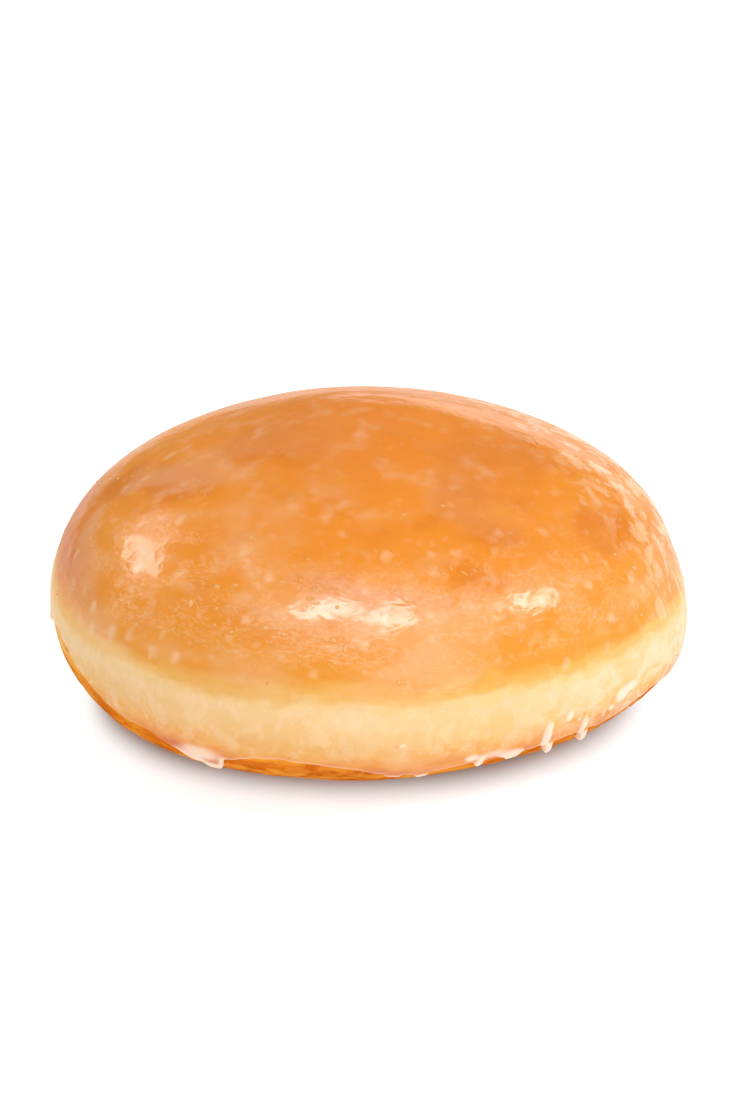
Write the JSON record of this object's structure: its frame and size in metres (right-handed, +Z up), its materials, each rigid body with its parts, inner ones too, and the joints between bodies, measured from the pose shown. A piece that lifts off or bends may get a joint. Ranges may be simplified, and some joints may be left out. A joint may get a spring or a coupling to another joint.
{
  "type": "glazed yeast doughnut",
  "caption": "Round glazed yeast doughnut without a hole: a fried dough dome with a pale band round its side, under a thin shiny set sugar glaze with small drips at its lower edge.",
  "frame": {"origin": "on the surface that the doughnut rests on, under the middle of its outline seen from above", "axes": "+Z up through the crown, which is the short way through the doughnut; -Y towards the side with the longest drips; +X completes a right-handed frame"},
  "size_m": [0.088, 0.088, 0.0425],
  "materials": {
    "crust": "matte",
    "glaze": "gloss"
  },
  "bodies": {
    "root": {"fried_dough": "crust", "sugar_glaze": "glaze"}
  },
  "joints": []
}
